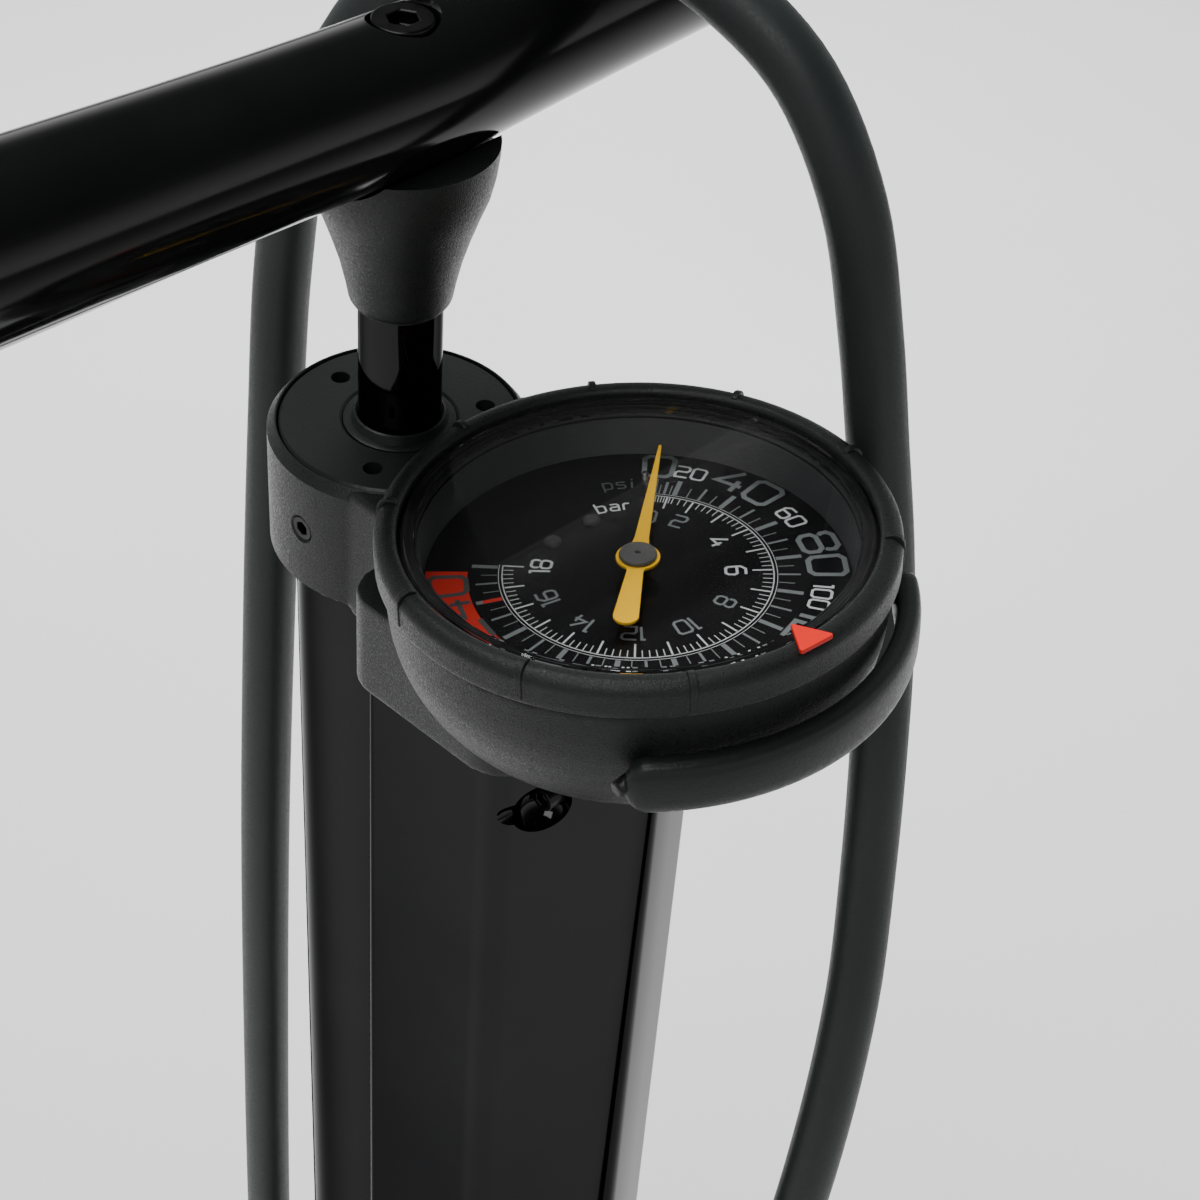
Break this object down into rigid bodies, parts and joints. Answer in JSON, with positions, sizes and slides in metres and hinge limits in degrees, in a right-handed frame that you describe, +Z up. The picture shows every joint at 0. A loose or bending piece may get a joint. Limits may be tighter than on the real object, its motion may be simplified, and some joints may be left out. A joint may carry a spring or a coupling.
{
  "type": "floor bike pump",
  "caption": "Black floor bike pump with a second air chamber, large tilted gauge with a turning bezel, release lever and a hose looped over its handle.",
  "frame": {"origin": "on the barrel's axis, at the underside of the feet", "axes": "+Z up along the barrel, -Y towards the gauge, +X along the handle to the side the hose crosses"},
  "size_m": [0.2648, 0.1785, 0.7125],
  "materials": {
    "painted_black": "satin",
    "gloss_black": "gloss",
    "gloss_plastic": "gloss",
    "moulded": "textured matte",
    "moulded_satin": "satin",
    "rubber": "matte",
    "hose": "matte",
    "seal": "matte",
    "steel": "satin",
    "brass": "satin",
    "amber": "gloss",
    "red": "satin",
    "dial": "gloss",
    "clear": "clear"
  },
  "bodies": {
    "frame": {"base_plate": "painted_black", "rubber_feet": "rubber", "foot_treads": "rubber", "base_casting": "moulded", "base_bolts": "steel", "barrel_tube": "gloss_black", "barrel_lower_gasket": "seal", "barrel_upper_gasket": "seal", "chamber_tube": "gloss_black", "chamber_lower_gasket": "seal", "chamber_upper_gasket": "seal", "chamber_screws": "steel", "valve_seat": "brass", "check_spring": "steel", "head_housing": "moulded", "barrel_cap": "moulded_satin", "rod_bush": "moulded_satin", "rod_seal": "seal", "collar_screw": "steel", "gauge_case": "painted_black", "bourdon_tube": "brass", "gauge_stem": "brass", "sector_pin": "steel", "dial_plate": "dial", "dial_rivets": "steel", "stop_pin": "steel", "lens_gasket": "seal", "gauge_lens": "clear", "lever_pins": "steel", "hose_elbow": "steel", "hose_ferrule": "steel", "hose": "hose", "chuck_holder": "moulded_satin"},
    "piston_ring": {"piston_seal": "seal"},
    "plunger": {"piston_rod": "gloss_black", "piston_head": "moulded_satin", "piston_nut": "steel", "hub_cone": "moulded", "handle_core": "steel", "handle_shell": "gloss_plastic", "handle_end_caps": "rubber", "handle_bolt": "steel"},
    "sector": {"sector_gear": "brass"},
    "pointer": {"needle_arbor": "brass", "gauge_needle": "amber", "needle_cap": "steel"},
    "bezel": {"bezel_ring": "moulded", "pressure_marker": "red"},
    "lever": {"release_lever": "moulded_satin"},
    "release": {"release_plunger": "brass", "plunger_seal": "seal"},
    "ball": {"check_ball": "steel"},
    "chuck": {"chuck_ferrule": "steel", "chuck_body": "moulded_satin", "chuck_seal": "seal", "chuck_nut": "moulded_satin", "chuck_pin": "steel"},
    "chuck_thumb": {"chuck_lever": "red"}
  },
  "joints": [
    {"name": "piston_slide", "type": "slide", "parent": "frame", "child": "piston_ring", "axis": [0, 0, 1], "range_m": [0, 0.5], "deforming": ["hose"]},
    {"name": "handle_turn", "type": "hinge", "parent": "piston_ring", "child": "plunger", "pos_m": [0, 0, 0.6825], "axis": [0, 0, 1], "continuous": true},
    {"name": "sector_turn", "type": "hinge", "parent": "frame", "child": "sector", "pos_m": [-0.01973, -0.07036, 0.60737], "axis": [0, 0.0958, 0.9954], "range_deg": [0, 43.67], "stiffness_Nm_per_rad": 0.01, "springref_deg": -11.46},
    {"name": "needle_turn", "type": "hinge", "parent": "frame", "child": "pointer", "pos_m": [0, -0.0615, 0.6245], "axis": [0, 0.0958, 0.9954], "range_deg": [-262, 0]},
    {"name": "bezel_turn", "type": "hinge", "parent": "frame", "child": "bezel", "pos_m": [0, -0.0615, 0.6245], "axis": [0, 0.0958, 0.9954], "continuous": true},
    {"name": "lever_press", "type": "hinge", "parent": "frame", "child": "lever", "pos_m": [0, -0.09457, 0.60759], "axis": [1, 0, 0], "range_deg": [0, 30], "stiffness_Nm_per_rad": 0.05, "springref_deg": -17.19},
    {"name": "release_move", "type": "slide", "parent": "frame", "child": "release", "axis": [0, 0, -1], "range_m": [0, 0.003]},
    {"name": "check_valve", "type": "slide", "parent": "frame", "child": "ball", "axis": [0, 0, -1], "range_m": [0, 0.003], "stiffness_N_per_m": 20, "springref_m": -0.001, "deforming": ["check_spring"]},
    {"name": "chuck_lift", "type": "slide", "parent": "frame", "child": "chuck", "axis": [0, 0, 1], "range_m": [0, 0.045]},
    {"name": "chuck_clamp", "type": "hinge", "parent": "chuck", "child": "chuck_thumb", "pos_m": [0, -0.107, 0.16], "axis": [-1, 0, 0], "range_deg": [0, 90]}
  ],
  "couplings": [
    {"joint": "needle_turn", "follows": "sector_turn", "ratio": -6},
    {"joint": "release_move", "follows": "lever_press", "m_per_rad": 0.005539}
  ]
}
